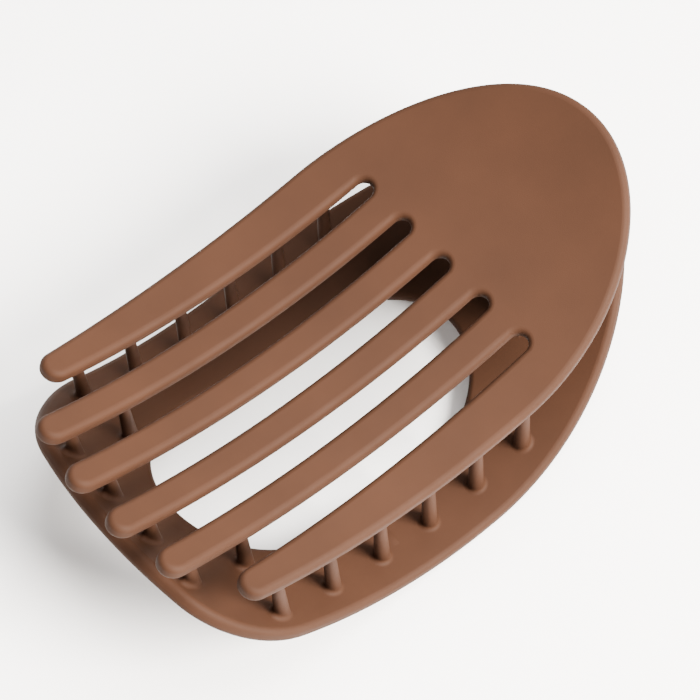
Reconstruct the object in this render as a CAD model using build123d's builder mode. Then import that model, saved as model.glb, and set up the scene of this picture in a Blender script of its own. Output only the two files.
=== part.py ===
"""Flat claw clip for hair: two boat-shaped plastic jaws on a sprung hinge.

Frame: X runs along the clip with the fingertips at +X, Y runs across it, +Z is up.
The origin is under the middle of the clip, where the lower jaw's belly rests.
All sizes are in millimetres.
"""

import os
from math import acos, asin, atan, atan2, cos, degrees, hypot, pi, sin, sqrt

from build123d import *

# ---- overall ----
clip_length = 116.1  # along the upper jaw's middle surface, seen in plan
clip_width = 70.4
jaw_margin = 3.0  # how far the lower jaw stands out past the upper one on each side
middle_gap = 26.4  # between the jaws' middle surfaces, at the belly
belly_x = -2.0  # the lowest point of both jaws, close to the clip's centre of mass
half_length = clip_length / 2

# ---- jaw shells ----
upper_thickness = 3.0
lower_thickness = 3.0
upper_bend = 1.05 * clip_length  # radius of the upper jaw's middle surface, seen from the side
lower_bend = 0.603 * clip_length
edge_round = 1.15
side_slope = 0.12  # how steeply the jaws' sides close in at the front, seen in plan

# ---- upper jaw: palm and fingers ----
upper_width = clip_width - 2 * jaw_margin
palm_nose = 0.385 * clip_length  # length of the half ellipse that rounds the palm's rear
finger_count = 6
finger_pitch = 0.163 * upper_width
finger_spread = 0.4  # how much wider the pitch is at the fingertips
slit_root_width = 3.9
slit_tip_width = 5.3
palm_length = 37.3  # from the palm's rear end to the middle of the slits' round ends
second_finger_drop = 2.0  # how far the second fingertips stop short of the middle ones
outer_finger_drop = 10.4
outer_finger_reach = 0.444 * upper_width  # half the width, level with the longest fingertips
fingertip_fullness = 0.97  # 1 would make each fingertip a half circle

# ---- lower jaw: plate with a large opening ----
plate_rear_inset = 0.45  # how far the plate stops short of the upper jaw at each end
plate_front_inset = 1.2
plate_nose = 0.462 * clip_length  # length of the half ellipse that rounds the plate's rear
plate_front_reach = 0.447 * clip_width  # half the width across the front, corners left square
plate_front_bow = 5.0
plate_corner = 17.0
opening_rear_inset = 35.1  # from the ends of the clip to the opening
opening_front_inset = 14.25
opening_width = 0.511 * clip_width
opening_rear_nose = 22.0  # lengths of the half ellipses at the opening's two ends
opening_front_nose = 19.0

# ---- teeth on the lower jaw ----
tooth_base_radius = 1.55
tooth_tip_radius = 1.0
tooth_tip_round = 0.5
tooth_gap = 0.55  # between a tooth and the finger above it
tooth_foot_round = 0.8
side_tooth_count = 6
side_tooth_pitch = 0.0986 * clip_length
side_tooth_margin = 7.4  # from the plate's widest place to the middle of a side row
side_tooth_inset = 17.0  # from the longest fingertips back to the first side tooth
tip_tooth_inset = 7.3
second_tooth_inset = 18.4

# ---- hinge ----
hinge_inset = 23.5  # from the palm's rear end forward to the pin
hinge_share = 0.5922  # how far up the gap between the jaws the pin sits
pin_diameter = 2.0
pin_running_clearance = 0.05  # radial, in the upper jaw's lugs
pin_end_recess = 0.3
pin_chamfer = 0.25
lug_radius = 4.0
lug_thickness = 2.5
lug_side_clearance = 0.3
lug_foot_flare = 1.5  # how much further each side of a lug reaches where it meets its jaw
lug_foot_round = 0.8

# ---- torsion spring ----
wire_diameter = 1.2
coil_radius = 3.1  # to the middle of the wire
coil_turns = 7
coil_gap = 0.1  # between neighbouring turns
coil_side_clearance = 0.9
spring_leg_reach = 14.0  # from the pin back to the legs' ends
spring_leg_clearance = 0.2

# ---- places worked out from the sizes above ----
slit_end = palm_length - half_length
slit_length = clip_length - palm_length
lower_axis_height = lower_thickness / 2 + lower_bend
upper_axis_height = lower_thickness / 2 + middle_gap + upper_bend
lower_inner_bend = lower_bend - lower_thickness / 2
upper_inner_bend = upper_bend + upper_thickness / 2


def lower_height(x, lift=0):
    """Height at x of the lower jaw's inner face, or of a point that far above it."""
    return lower_axis_height - sqrt((lower_inner_bend - lift) ** 2 - (x - belly_x) ** 2)


def upper_height(x, drop=0):
    """Height at x of the upper jaw's inner face, or of a point that far below it."""
    return upper_axis_height - sqrt((upper_inner_bend + drop) ** 2 - (x - belly_x) ** 2)


def finger_lane(steps, x):
    """Sideways place at x of the line that lies that many finger pitches from the middle."""
    return steps * (finger_pitch + finger_spread * (x - slit_end) / slit_length)


def bent_face(plan, bend, axis_height, width):
    """The part of a cylinder lying along Y, of radius bend, that is under a plan sketch."""
    half_angle = degrees(asin(1.08 * half_length / bend))  # a little longer than the clip
    with BuildLine(Plane.XZ.offset(width)) as side_view:
        CenterArc((belly_x, axis_height), bend, -90 - half_angle, 2 * half_angle)
    sheet = Face.extrude(side_view.edge(), (0, 2 * width, 0))
    return sheet.intersect(Solid.extrude(plan.face(), (0, 0, axis_height)))[0]


def on_bend(edge, bend, axis_height):
    """Whether an edge lies on the cylinder of radius bend."""
    points = [edge @ (step / 4) for step in range(4)]
    return all(abs(hypot(p.X - belly_x, p.Z - axis_height) - bend) < 0.01 for p in points)


def near(edge, place, reach):
    """Whether the middle of an edge is within reach of a place, seen in plan."""
    middle = edge.center(CenterOf.BOUNDING_BOX)
    return hypot(middle.X - place[0], middle.Y - place[1]) < reach


def lug_outline(inner_height, thickness):
    """Side view of a lug: round about the pin, and wider where it goes into its jaw."""
    rear_foot = hinge_x - lug_foot_reach
    front_foot = hinge_x + lug_foot_reach
    with BuildSketch() as outline:
        with BuildLine():
            Polyline(
                (hinge_x - lug_radius, hinge_height),
                (hinge_x + lug_radius, hinge_height),
                (front_foot, inner_height(front_foot, -thickness / 2)),
                (rear_foot, inner_height(rear_foot, -thickness / 2)),
                close=True,
            )
        make_face()
        with Locations((hinge_x, hinge_height)):
            Circle(lug_radius)
    return outline.sketch


hinge_x = hinge_inset - half_length
hinge_height = (1 - hinge_share) * lower_height(hinge_x) + hinge_share * upper_height(hinge_x)

# ---- spring: where its legs touch the jaws and leave the coil ----
wire_radius = wire_diameter / 2
leg_standoff = wire_radius + spring_leg_clearance
leg_end_x = hinge_x - spring_leg_reach
lower_leg_rise = lower_height(leg_end_x, leg_standoff) - hinge_height
upper_leg_rise = upper_height(leg_end_x, leg_standoff) - hinge_height
lower_leg_angle = atan2(lower_leg_rise, -spring_leg_reach)
upper_leg_angle = atan2(upper_leg_rise, -spring_leg_reach)
lower_leg_span = hypot(spring_leg_reach, lower_leg_rise)
upper_leg_span = hypot(spring_leg_reach, upper_leg_rise)
coil_start = lower_leg_angle + acos(coil_radius / lower_leg_span) - 2 * pi
coil_end = upper_leg_angle - acos(coil_radius / upper_leg_span)
coil_sweep = coil_turns + (coil_end - coil_start) / (2 * pi)
coil_pitch = wire_diameter + coil_gap
coil_length = coil_sweep * coil_pitch
coil_lead = atan(coil_pitch / (2 * pi * coil_radius))
lower_leg_length = sqrt(lower_leg_span**2 - coil_radius**2) / cos(coil_lead)
upper_leg_length = sqrt(upper_leg_span**2 - coil_radius**2) / cos(coil_lead)

# ---- lugs, from the spring outwards ----
upper_lug_inside = coil_length / 2 + wire_radius + coil_side_clearance
lower_lug_inside = upper_lug_inside + lug_thickness + lug_side_clearance
pin_length = 2 * (lower_lug_inside + lug_thickness - pin_end_recess)
lug_foot_reach = lug_radius + lug_foot_flare

# ---- upper jaw: solid palm, six fingers and two inner lugs ----
with BuildSketch() as upper_plan:
    nose_end = palm_nose - half_length
    with BuildLine():
        EllipticalCenterArc((nose_end, 0), palm_nose, upper_width / 2, start_angle=90, arc_size=180)
        side = Spline(
            (nose_end, upper_width / 2),
            (half_length, outer_finger_reach),
            tangents=[(1, 0), (1, -side_slope)],
        )
        mirror(side, about=Plane.XZ)
        Line(side @ 1, ((side @ 1).X, -(side @ 1).Y))
    make_face()
    # the two outer pairs of fingers stop short of the middle pair
    for rank, drop in enumerate([outer_finger_drop, second_finger_drop]):
        tip = half_length - drop
        lane = finger_lane((finger_count - 1) / 2 - rank, tip)
        with Locations((tip, lane), (tip, -lane)):
            Rectangle(half_length, finger_pitch, align=(Align.MIN, Align.CENTER), mode=Mode.SUBTRACT)
    # slits between the fingers, wider towards the tips
    for step in range(1 - finger_count // 2, finger_count // 2):
        root = finger_lane(step, slit_end)
        tip = finger_lane(step, half_length)
        with BuildLine():
            Polyline(
                (slit_end, root - slit_root_width / 2),
                (half_length, tip - slit_tip_width / 2),
                (half_length, tip + slit_tip_width / 2),
                (slit_end, root + slit_root_width / 2),
                close=True,
            )
        make_face(mode=Mode.SUBTRACT)
        with Locations((slit_end, root)):
            Circle(slit_root_width / 2, mode=Mode.SUBTRACT)
    fingertip_width = finger_pitch + finger_spread - slit_tip_width
    tip_corners = upper_plan.vertices().filter_by(
        lambda corner: corner.X > half_length - outer_finger_drop - edge_round
    )
    fillet(tip_corners, radius=fingertip_fullness * fingertip_width / 2)

with BuildPart() as upper_jaw:
    thicken(
        bent_face(upper_plan.sketch, upper_bend, upper_axis_height, clip_width),
        amount=upper_thickness / 2,
        both=True,
    )
    fillet(upper_jaw.faces().sort_by(SortBy.AREA)[-2:].edges(), radius=edge_round)
    for inside in (-upper_lug_inside - lug_thickness, upper_lug_inside):
        with BuildSketch(Plane.XZ.offset(-inside)):
            add(lug_outline(upper_height, upper_thickness))
        extrude(amount=-lug_thickness)
    lug_feet = upper_jaw.edges().filter_by(
        lambda edge: on_bend(edge, upper_inner_bend, upper_axis_height)
        and near(edge, (hinge_x, 0), 2 * lug_foot_reach + lug_thickness)
    )
    fillet(lug_feet, radius=lug_foot_round)
    with Locations(Plane.XZ):
        with Locations((hinge_x, hinge_height)):
            Cylinder(pin_diameter / 2 + pin_running_clearance, clip_width, mode=Mode.SUBTRACT)

# ---- lower jaw: plate with a large opening, teeth and two outer lugs ----
with BuildSketch() as lower_plan:
    plate_front = half_length - plate_front_inset
    nose_end = plate_nose + plate_rear_inset - half_length
    front_corner = plate_front - plate_front_bow
    with BuildLine():
        EllipticalCenterArc((nose_end, 0), plate_nose, clip_width / 2, start_angle=90, arc_size=180)
        side = Spline(
            (nose_end, clip_width / 2),
            (front_corner, plate_front_reach),
            tangents=[(1, 0), (1, -side_slope)],
        )
        mirror(side, about=Plane.XZ)
        ThreePointArc(side @ 1, (plate_front, 0), (front_corner, -plate_front_reach))
    make_face()
    front_corners = lower_plan.vertices().sort_by(Axis.X)[-2:]
    fillet(front_corners, radius=plate_corner)
    rear_nose_end = opening_rear_inset + opening_rear_nose - half_length
    front_nose_end = half_length - opening_front_inset - opening_front_nose
    half_opening = opening_width / 2
    with BuildLine():
        EllipticalCenterArc(
            (rear_nose_end, 0), opening_rear_nose, half_opening, start_angle=90, arc_size=180
        )
        EllipticalCenterArc(
            (front_nose_end, 0), opening_front_nose, half_opening, start_angle=-90, arc_size=180
        )
        Line((rear_nose_end, half_opening), (front_nose_end, half_opening))
        Line((rear_nose_end, -half_opening), (front_nose_end, -half_opening))
    make_face(mode=Mode.SUBTRACT)

tooth_places = []
for hand in (-1, 1):
    side_tooth_lane = clip_width / 2 - side_tooth_margin
    for number in range(side_tooth_count):
        tooth_x = half_length - side_tooth_inset - number * side_tooth_pitch
        tooth_places.append((tooth_x, hand * side_tooth_lane))
    for steps, inset in [(0.5, tip_tooth_inset), (1.5, tip_tooth_inset), (1.5, second_tooth_inset)]:
        tooth_x = half_length - inset
        tooth_places.append((tooth_x, hand * finger_lane(steps, tooth_x)))

with BuildPart() as teeth:
    for x, y in tooth_places:
        foot = lower_height(x, -lower_thickness / 2)
        tip = upper_height(x - tooth_tip_radius, tooth_gap)
        with BuildSketch(Plane.XY.offset(foot)):
            with Locations((x, y)):
                Circle(tooth_base_radius)
        with BuildSketch(Plane.XY.offset(tip)):
            with Locations((x, y)):
                Circle(tooth_tip_radius)
        loft()
    tip_edges = teeth.edges().filter_by(GeomType.CIRCLE).filter_by(
        lambda edge: abs(edge.radius - tooth_tip_radius) < 0.01
    )
    fillet(tip_edges, radius=tooth_tip_round)

with BuildPart() as lower_jaw:
    thicken(
        bent_face(lower_plan.sketch, lower_bend, lower_axis_height, clip_width),
        amount=lower_thickness / 2,
        both=True,
    )
    fillet(lower_jaw.faces().sort_by(SortBy.AREA)[-2:].edges(), radius=edge_round)
    add(teeth.part)
    for inside in (-lower_lug_inside - lug_thickness, lower_lug_inside):
        with BuildSketch(Plane.XZ.offset(-inside)):
            add(lug_outline(lower_height, lower_thickness))
        extrude(amount=-lug_thickness)
    feet = lower_jaw.edges().filter_by(lambda edge: on_bend(edge, lower_inner_bend, lower_axis_height))
    tooth_feet = feet.filter_by(
        lambda edge: any(near(edge, place, tooth_base_radius) for place in tooth_places)
    )
    fillet(tooth_feet, radius=tooth_foot_round)
    lug_feet = lower_jaw.edges().filter_by(
        lambda edge: on_bend(edge, lower_inner_bend, lower_axis_height)
        and near(edge, (hinge_x, 0), lower_lug_inside + 2 * lug_thickness)
        and abs(edge.center().X - hinge_x) < lug_foot_reach + 1
    )
    fillet(lug_feet, radius=lug_foot_round)
    with Locations(Plane.XZ):
        with Locations((hinge_x, hinge_height)):
            Cylinder(pin_diameter / 2, clip_width, mode=Mode.SUBTRACT)

# ---- hinge pin, pressed into the lower jaw's lugs ----
with BuildPart() as hinge_pin:
    with BuildSketch(Plane.XZ.offset(-pin_length / 2)):
        with Locations((hinge_x, hinge_height)):
            Circle(pin_diameter / 2)
    extrude(amount=pin_length)
    chamfer(hinge_pin.edges(), length=pin_chamfer)

# ---- torsion spring: a coil round the pin with two straight legs ----
# Made along its own Z, then laid along the pin with its start towards +Y.
coil_place = Plane(
    origin=(hinge_x, coil_length / 2, hinge_height),
    x_dir=(cos(coil_start), 0, sin(coil_start)),
    z_dir=(0, -1, 0),
)
with BuildPart() as torsion_spring:
    with BuildLine() as coil:
        Helix(coil_pitch, coil_length, coil_radius)
    lower_coil_end = Plane(origin=coil.line @ 0, z_dir=-(coil.line % 0))
    upper_coil_end = Plane(origin=coil.line @ 1, z_dir=coil.line % 1)
    with BuildSketch(lower_coil_end):
        Circle(wire_radius)
    sweep(is_frenet=True)
    legs = [(lower_coil_end, lower_leg_length), (upper_coil_end, upper_leg_length)]
    for coil_face, leg_length in legs:
        with BuildSketch(coil_face):
            Circle(wire_radius)
        extrude(amount=leg_length)
        leg_tip = torsion_spring.edges(Select.LAST).sort_by_distance(coil_face.origin)[-1]
        fillet(leg_tip, radius=wire_radius / 2)

os.makedirs("parts", exist_ok=True)
upper_jaw.part.label = "upper_jaw"
lower_jaw.part.label = "lower_jaw"
hinge_pin.part.label = "hinge_pin"
placed_spring = torsion_spring.part.moved(coil_place.location)
placed_spring.label = "torsion_spring"
export_step(upper_jaw.part, "parts/upper_jaw.step")
export_step(lower_jaw.part, "parts/lower_jaw.step")
export_step(hinge_pin.part, "parts/hinge_pin.step")
export_step(placed_spring, "parts/torsion_spring.step")
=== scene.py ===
"""Studio scene of a flat claw clip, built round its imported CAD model."""

from math import acos, asin, atan, atan2, cos, hypot, pi, radians, sin, sqrt, tan

import bpy
from mathutils import Matrix, Vector


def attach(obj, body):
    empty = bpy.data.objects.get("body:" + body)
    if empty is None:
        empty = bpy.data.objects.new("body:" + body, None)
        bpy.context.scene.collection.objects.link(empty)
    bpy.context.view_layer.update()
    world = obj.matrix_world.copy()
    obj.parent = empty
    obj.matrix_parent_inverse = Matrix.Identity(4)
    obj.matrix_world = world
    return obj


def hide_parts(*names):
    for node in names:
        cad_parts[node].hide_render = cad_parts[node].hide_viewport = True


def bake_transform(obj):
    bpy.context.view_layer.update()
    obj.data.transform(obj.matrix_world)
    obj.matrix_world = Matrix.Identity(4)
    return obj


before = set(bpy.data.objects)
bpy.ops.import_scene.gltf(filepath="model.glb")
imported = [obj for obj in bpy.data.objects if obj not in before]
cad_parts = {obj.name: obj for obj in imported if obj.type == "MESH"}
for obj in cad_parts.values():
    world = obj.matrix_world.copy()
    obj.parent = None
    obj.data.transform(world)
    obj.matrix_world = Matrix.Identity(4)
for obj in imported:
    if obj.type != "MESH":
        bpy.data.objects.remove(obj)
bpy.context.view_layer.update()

MM = 0.001

# ---- the clip's own sizes ----
HINGE = Vector((-34.55, 0.0, 22.8)) * MM
BELLY_X = -2.0 * MM
LOWER_INNER_BEND = 68.51 * MM  # radius of the lower jaw's inner face, seen from the side
LOWER_AXIS_HEIGHT = 71.51 * MM
UPPER_INNER_BEND = 123.41 * MM
UPPER_AXIS_HEIGHT = 149.81 * MM

WIRE_RADIUS = 0.6 * MM
COIL_RADIUS = 3.1 * MM
COIL_PITCH = 1.3 * MM
COIL_TURNS = 7
LEG_REACH = 14.0 * MM
LEG_STANDOFF = 0.8 * MM  # from the middle of the wire to the jaw beside a leg's end
WIRE_SIDES = 20
STEPS_PER_TURN = 40
TIP_LENGTH = 0.35 * WIRE_RADIUS
TIP_STEPS = ((0.22, 0.86), (0.13, 0.72))  # advance in wire radii, and share of the width kept

MARK_RADIUS = 1.7 * MM
MARK_LIP = 0.13 * MM  # how far the lip stands above the plate
MARK_LIP_WIDTH = 0.24 * MM
MARK_DISH_DEPTH = 0.12 * MM  # from the lip down to the middle of the mark
MARK_LIP_ROUND = 0.04 * MM
MARK_SIDES = 72
MARK_PLACES = [(14.1 * MM, 26.1 * MM), (14.1 * MM, -26.1 * MM)]


def lower_height(x, lift=0.0):
    """Height at x of the lower jaw's inner face, or of a point that far above it."""
    return LOWER_AXIS_HEIGHT - sqrt((LOWER_INNER_BEND - lift) ** 2 - (x - BELLY_X) ** 2)


def upper_height(x, drop=0.0):
    """Height at x of the upper jaw's inner face, or of a point that far below it."""
    return UPPER_AXIS_HEIGHT - sqrt((UPPER_INNER_BEND + drop) ** 2 - (x - BELLY_X) ** 2)


# ---- small helpers ----
def deselect_all():
    for thing in bpy.context.selected_objects:
        thing.select_set(False)


def only(piece):
    """Make one piece the whole selection."""
    deselect_all()
    piece.select_set(True)
    bpy.context.view_layer.objects.active = piece


def settle(piece):
    """Put a piece's place and turn into its mesh."""
    only(piece)
    bpy.ops.object.transform_apply(location=True, rotation=True, scale=True)


def set_material(piece, material):
    piece.data.materials.clear()
    piece.data.materials.append(material)


# ---- materials ----
def new_material(name):
    material = bpy.data.materials.new(name)
    material.use_nodes = True
    nodes = material.node_tree.nodes
    shader = nodes["Principled BSDF"]
    return material, nodes, material.node_tree.links, shader


def object_coordinates(nodes):
    return nodes.new("ShaderNodeTexCoord").outputs["Object"]


def noise(nodes, links, place, scale, detail=3.0, roughness=0.5):
    texture = nodes.new("ShaderNodeTexNoise")
    texture.inputs["Scale"].default_value = scale
    texture.inputs["Detail"].default_value = detail
    texture.inputs["Roughness"].default_value = roughness
    links.new(place, texture.inputs["Vector"])
    return texture.outputs["Fac"]


def ramp(nodes, links, value, stops):
    """A colour ramp fed by value, from (position, colour) stops."""
    mixer = nodes.new("ShaderNodeValToRGB")
    band = mixer.color_ramp
    band.elements[0].position, band.elements[0].color = stops[0]
    band.elements[1].position, band.elements[1].color = stops[-1]
    for position, colour in stops[1:-1]:
        band.elements.new(position).color = colour
    links.new(value, mixer.inputs["Fac"])
    return mixer.outputs["Color"]


def spread(nodes, links, value, low, high):
    """Map a 0 to 1 value onto low to high."""
    mapper = nodes.new("ShaderNodeMapRange")
    mapper.inputs["To Min"].default_value = low
    mapper.inputs["To Max"].default_value = high
    links.new(value, mapper.inputs["Value"])
    return mapper.outputs["Result"]


def bump(nodes, links, value, strength, distance, under=None):
    relief = nodes.new("ShaderNodeBump")
    relief.inputs["Strength"].default_value = strength
    relief.inputs["Distance"].default_value = distance
    links.new(value, relief.inputs["Height"])
    if under is not None:
        links.new(under, relief.inputs["Normal"])
    return relief.outputs["Normal"]


def mocha_plastic(name, dark, light):
    """Matte moulded plastic: a fine spark-eroded grain over faint flow marks."""
    material, nodes, links, shader = new_material(name)
    place = object_coordinates(nodes)
    tone = noise(nodes, links, place, 45.0, 4.0, 0.55)
    links.new(ramp(nodes, links, tone, [(0.3, dark), (0.7, light)]), shader.inputs["Base Color"])
    patch = noise(nodes, links, place, 220.0, 3.0, 0.6)
    links.new(spread(nodes, links, patch, 0.62, 0.76), shader.inputs["Roughness"])
    shader.inputs["Specular IOR Level"].default_value = 0.09
    wave = bump(nodes, links, noise(nodes, links, place, 90.0, 2.0), 0.12, 0.0002)
    grain = noise(nodes, links, place, 5200.0, 2.0, 0.6)
    links.new(bump(nodes, links, grain, 0.35, 0.00005, wave), shader.inputs["Normal"])
    return material


def drawn_steel(name, dark, light, roughness):
    """Drawn wire: dull steel with fine lines along the pin and faint stains."""
    material, nodes, links, shader = new_material(name)
    place = object_coordinates(nodes)
    tone = noise(nodes, links, place, 400.0, 4.0, 0.6)
    links.new(ramp(nodes, links, tone, [(0.35, dark), (0.65, light)]), shader.inputs["Base Color"])
    shader.inputs["Metallic"].default_value = 1.0
    links.new(spread(nodes, links, tone, roughness - 0.06, roughness + 0.1), shader.inputs["Roughness"])
    lines = nodes.new("ShaderNodeMapping")
    lines.inputs["Scale"].default_value = (9000.0, 600.0, 9000.0)
    links.new(place, lines.inputs["Vector"])
    scratches = noise(nodes, links, lines.outputs["Vector"], 1.0, 2.0)
    links.new(bump(nodes, links, scratches, 0.25, 0.00003), shader.inputs["Normal"])
    return material


plastic = mocha_plastic("mocha_plastic", (0.0265, 0.0104, 0.0048, 1), (0.0325, 0.0127, 0.0059, 1))
pin_steel = drawn_steel("pin_steel", (0.50, 0.49, 0.47, 1), (0.62, 0.61, 0.59, 1), 0.32)
spring_steel = drawn_steel("spring_steel", (0.30, 0.29, 0.275, 1), (0.44, 0.43, 0.41, 1), 0.42)

for node, material in (
    ("upper_jaw", plastic),
    ("lower_jaw", plastic),
    ("hinge_pin", pin_steel),
    ("torsion_spring", spring_steel),
):
    set_material(bpy.data.objects[node], material)


# ---- torsion spring ----
def stretch_wire(wire, middle, direction, length):
    """Lengthen the wire from the end whose ring is round middle, and round its tip."""
    only(wire)
    in_ring = [(vertex.co - middle).length < 1.02 * WIRE_RADIUS for vertex in wire.data.vertices]
    for vertex in wire.data.vertices:
        vertex.select = in_ring[vertex.index]
    for edge in wire.data.edges:
        edge.select = all(in_ring[index] for index in edge.vertices)
    for face in wire.data.polygons:
        face.select = False
    bpy.ops.object.mode_set(mode="EDIT")
    straight = length - TIP_LENGTH
    bpy.ops.mesh.extrude_region_move(TRANSFORM_OT_translate={"value": direction * straight})
    tip = middle + direction * straight
    for step, share in TIP_STEPS:
        bpy.ops.mesh.extrude_region_move(
            TRANSFORM_OT_translate={"value": direction * WIRE_RADIUS * step}
        )
        tip = tip + direction * WIRE_RADIUS * step
        bpy.ops.transform.resize(value=(share, share, share), center_override=tip)
    bpy.ops.mesh.edge_face_add()
    bpy.ops.object.mode_set(mode="OBJECT")


def add_spring():
    """A close-wound coil round the pin, with a straight leg towards each jaw."""
    leg_end = HINGE.x - LEG_REACH
    leg_heights = (lower_height(leg_end, LEG_STANDOFF), upper_height(leg_end, LEG_STANDOFF))
    rises = [height - HINGE.z for height in leg_heights]
    spans = [hypot(LEG_REACH, rise) for rise in rises]
    start = atan2(rises[0], -LEG_REACH) + acos(COIL_RADIUS / spans[0]) - 2 * pi
    end = atan2(rises[1], -LEG_REACH) - acos(COIL_RADIUS / spans[1])
    sweep = 2 * pi * COIL_TURNS + end - start
    coil_length = COIL_PITCH * sweep / (2 * pi)
    lead = atan(COIL_PITCH / (2 * pi * COIL_RADIUS))
    leg_lengths = [sqrt(span**2 - COIL_RADIUS**2) / cos(lead) for span in spans]

    # wound along its own Z, then laid along the pin
    deselect_all()
    bpy.ops.mesh.primitive_circle_add(
        vertices=WIRE_SIDES,
        radius=WIRE_RADIUS,
        location=(COIL_RADIUS, 0, 0),
        rotation=(pi / 2 + lead, 0, 0),
    )
    wire = bpy.context.active_object
    wire.name = "spring_wire"
    settle(wire)
    screw = wire.modifiers.new("wind", "SCREW")
    screw.axis = "Z"
    screw.angle = sweep
    screw.screw_offset = coil_length
    screw.steps = screw.render_steps = STEPS_PER_TURN * (COIL_TURNS + 1)
    screw.use_smooth_shade = True
    bpy.ops.object.modifier_apply(modifier=screw.name)
    stretch_wire(
        wire,
        Vector((COIL_RADIUS, 0, 0)),
        Vector((0, -cos(lead), -sin(lead))),
        leg_lengths[0],
    )
    stretch_wire(
        wire,
        Vector((COIL_RADIUS * cos(sweep), COIL_RADIUS * sin(sweep), coil_length)),
        Vector((-sin(sweep) * cos(lead), cos(sweep) * cos(lead), sin(lead))),
        leg_lengths[1],
    )
    only(wire)
    bpy.ops.object.mode_set(mode="EDIT")
    bpy.ops.mesh.select_all(action="SELECT")
    bpy.ops.mesh.normals_make_consistent(inside=False)
    bpy.ops.object.mode_set(mode="OBJECT")
    bpy.ops.object.shade_smooth()
    across = Vector((0, -1, 0))
    first = Vector((cos(start), 0, sin(start)))
    turn = Matrix((first, across.cross(first), across)).transposed().to_4x4()
    wire.matrix_world = Matrix.Translation(HINGE + Vector((0, coil_length / 2, 0))) @ turn
    settle(wire)
    set_material(wire, spring_steel)
    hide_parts("torsion_spring")
    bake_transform(wire)


add_spring()


# ---- ejector marks on the lower jaw's inner face ----
def add_ejector_mark(number, x, y):
    """A shallow dish with a thin raised lip, as an ejector pin leaves it, laid along the plate."""
    deselect_all()
    bpy.ops.mesh.primitive_cylinder_add(vertices=MARK_SIDES, radius=MARK_RADIUS, depth=2 * MARK_LIP)
    mark = bpy.context.active_object
    mark.name = "ejector_mark_%d" % number
    for face in mark.data.polygons:
        face.select = face.normal.z > 0.9
    bpy.ops.object.mode_set(mode="EDIT")
    bpy.ops.mesh.select_mode(type="FACE")
    bpy.ops.mesh.inset(thickness=MARK_LIP_WIDTH)
    bpy.ops.transform.translate(value=(0, 0, -MARK_DISH_DEPTH))
    bpy.ops.object.mode_set(mode="OBJECT")
    bevel = mark.modifiers.new("soft_lip", "BEVEL")
    bevel.width = MARK_LIP_ROUND
    bevel.segments = 3
    bpy.ops.object.modifier_apply(modifier=bevel.name)
    bpy.ops.object.shade_smooth_by_angle(angle=radians(50))
    mark.location = (x, y, lower_height(x))
    mark.rotation_euler = (0, -asin((x - BELLY_X) / LOWER_INNER_BEND), 0)
    settle(mark)
    set_material(mark, plastic)
    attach(mark, "lower")


for number, (x, y) in enumerate(MARK_PLACES):
    add_ejector_mark(number, x, y)


# ---- camera ----
def add_camera():
    """A long lens that looks down over the fingertips."""
    azimuth, elevation, roll = radians(53.41), radians(64.26), radians(-4.81)
    field_of_view = radians(15.12)
    distance = 471.0 * MM
    target = Vector((1.99, 1.53, 28.8)) * MM
    back = Vector((cos(azimuth) * cos(elevation), sin(azimuth) * cos(elevation), sin(elevation)))
    right = Vector((-sin(azimuth), cos(azimuth), 0.0))
    up = back.cross(right)
    right, up = cos(roll) * right + sin(roll) * up, cos(roll) * up - sin(roll) * right
    camera = bpy.data.objects.new("camera", bpy.data.cameras.new("camera"))
    bpy.context.collection.objects.link(camera)
    turn = Matrix((right, up, back)).transposed().to_4x4()
    camera.matrix_world = Matrix.Translation(target + distance * back) @ turn
    camera.data.lens = camera.data.sensor_width / 2 / tan(field_of_view / 2)
    camera.data.clip_start = 10 * MM
    bpy.context.scene.camera = camera


# ---- floor and lights ----
def add_floor():
    deselect_all()
    bpy.ops.mesh.primitive_plane_add(size=4.0)
    floor = bpy.context.active_object
    floor.name = "floor"
    material, _, _, shader = new_material("pale_floor")
    shader.inputs["Base Color"].default_value = (0.93, 0.905, 0.88, 1)
    shader.inputs["Roughness"].default_value = 0.75
    set_material(floor, material)


def add_area_light(name, place, aim, size, power, colour=(1, 1, 1)):
    light = bpy.data.lights.new(name, "AREA")
    light.shape = "DISK"
    light.size = size
    light.energy = power
    light.color = colour
    lamp = bpy.data.objects.new(name, light)
    bpy.context.collection.objects.link(lamp)
    lamp.location = place
    lamp.rotation_euler = (Vector(aim) - Vector(place)).to_track_quat("-Z", "Y").to_euler()


def add_lights():
    world = bpy.data.worlds.new("studio")
    bpy.context.scene.world = world
    world.use_nodes = True
    world.node_tree.nodes["Background"].inputs["Color"].default_value = (1.0, 0.985, 0.975, 1)
    world.node_tree.nodes["Background"].inputs["Strength"].default_value = 1.1
    add_area_light("key", (-0.30, 0.70, 0.66), (0, 0, 0.02), 0.55, 88.0, (1.0, 0.97, 0.93))
    add_area_light("top", (-0.45, 0.05, 1.0), (0, 0, 0.02), 0.9, 36.0)


add_camera()
add_floor()
add_lights()
